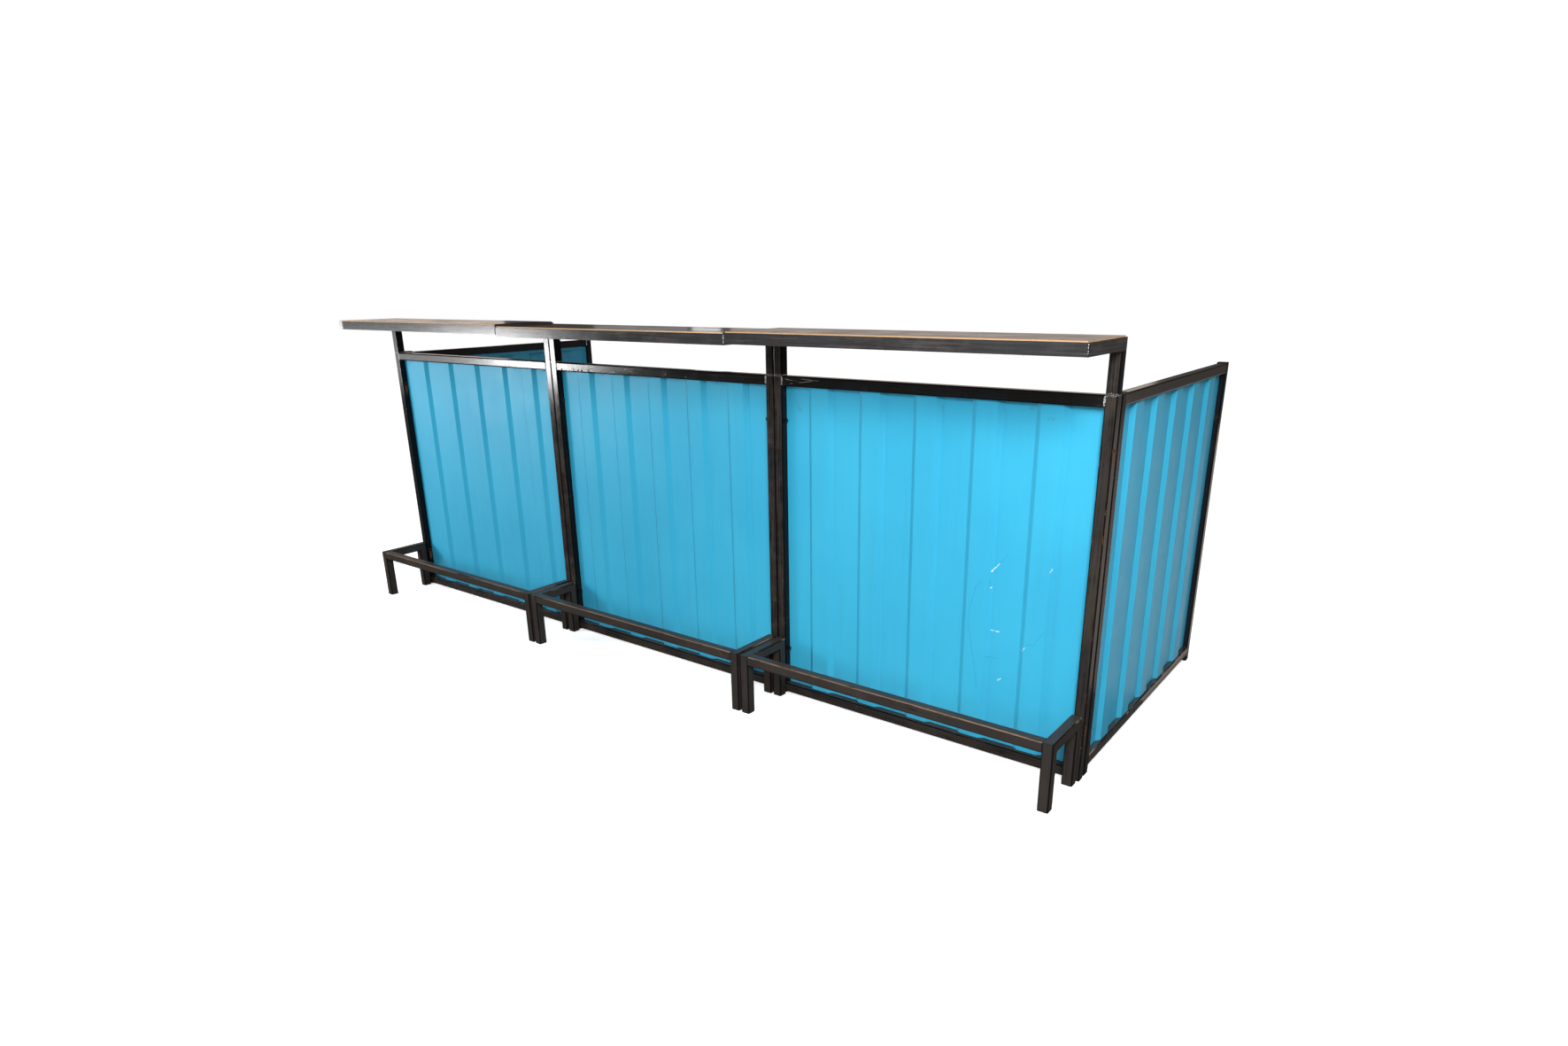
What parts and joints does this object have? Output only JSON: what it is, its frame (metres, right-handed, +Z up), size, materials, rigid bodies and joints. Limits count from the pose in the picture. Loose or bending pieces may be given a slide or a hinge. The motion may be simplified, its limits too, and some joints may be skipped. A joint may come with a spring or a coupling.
{
  "type": "front bar",
  "caption": "Modular front bar of square steel tube and blue profiled sheet, with a raised counter, foot rests and side wings that fold in on hinges.",
  "frame": {"origin": "on the floor, at the middle of the bar's box in plan", "axes": "+X along the bar to the customer's right, +Y from the customer's side to the staff's side, +Z up"},
  "size_m": [3, 1.2506, 1.135],
  "materials": {
    "raw_steel": "dark mill scale, waxed",
    "counter_steel": "dark mill scale, rubbed",
    "blue_sheet": "satin coil coating",
    "painted_rivets": "satin",
    "counter_board": "glossy dark film, raw edges",
    "cap_plastic": "matte",
    "zinc_fasteners": "dull zinc",
    "hinge_steel": "bare steel"
  },
  "bodies": {
    "front_bar": {"module_1_left_post": "raw_steel", "module_1_right_post": "raw_steel", "module_1_top_rail": "raw_steel", "module_1_bottom_rail": "raw_steel", "module_1_sheet": "blue_sheet", "module_1_risers": "raw_steel", "module_1_counter_frame": "counter_steel", "module_1_counter_board": "counter_board", "module_1_footrest_front_rail": "raw_steel", "module_1_footrest_side_frames": "raw_steel", "module_2_left_post": "raw_steel", "module_2_right_post": "raw_steel", "module_2_top_rail": "raw_steel", "module_2_bottom_rail": "raw_steel", "module_2_sheet": "blue_sheet", "module_2_risers": "raw_steel", "module_2_counter_frame": "counter_steel", "module_2_counter_board": "counter_board", "module_2_footrest_front_rail": "raw_steel", "module_2_footrest_side_frames": "raw_steel", "module_3_left_post": "raw_steel", "module_3_right_post": "raw_steel", "module_3_top_rail": "raw_steel", "module_3_bottom_rail": "raw_steel", "module_3_sheet": "blue_sheet", "module_3_risers": "raw_steel", "module_3_counter_frame": "counter_steel", "module_3_counter_board": "counter_board", "module_3_footrest_front_rail": "raw_steel", "module_3_footrest_side_frames": "raw_steel", "sheet_strips": "blue_sheet", "sheet_rivets": "painted_rivets", "board_screws": "zinc_fasteners", "footrest_bolts": "zinc_fasteners", "footrest_spacers": "zinc_fasteners", "footrest_rivet_nuts": "zinc_fasteners", "end_caps": "cap_plastic", "coupling_bolts": "zinc_fasteners", "coupling_nuts": "zinc_fasteners", "hinge_fixed_leaves": "hinge_steel", "hinge_pins": "hinge_steel"},
    "left_wing": {"left_wing_front_post": "raw_steel", "left_wing_rear_post": "raw_steel", "left_wing_top_rail": "raw_steel", "left_wing_bottom_rail": "raw_steel", "left_wing_sheet": "blue_sheet", "left_wing_sheet_strips": "blue_sheet", "left_wing_sheet_rivets": "painted_rivets", "left_wing_end_caps": "cap_plastic", "left_wing_hinge_leaves": "hinge_steel"},
    "right_wing": {"right_wing_front_post": "raw_steel", "right_wing_rear_post": "raw_steel", "right_wing_top_rail": "raw_steel", "right_wing_bottom_rail": "raw_steel", "right_wing_sheet": "blue_sheet", "right_wing_sheet_strips": "blue_sheet", "right_wing_sheet_rivets": "painted_rivets", "right_wing_end_caps": "cap_plastic", "right_wing_hinge_leaves": "hinge_steel"}
  },
  "joints": [
    {"name": "right_wing_fold", "type": "hinge", "parent": "front_bar", "child": "right_wing", "pos_m": [1.4635, -0.3775, 0], "axis": [0, 0, 1], "range_deg": [0, 90]},
    {"name": "left_wing_fold", "type": "hinge", "parent": "front_bar", "child": "left_wing", "pos_m": [-1.4635, -0.3775, 0], "axis": [0, 0, -1], "range_deg": [0, 90]}
  ]
}
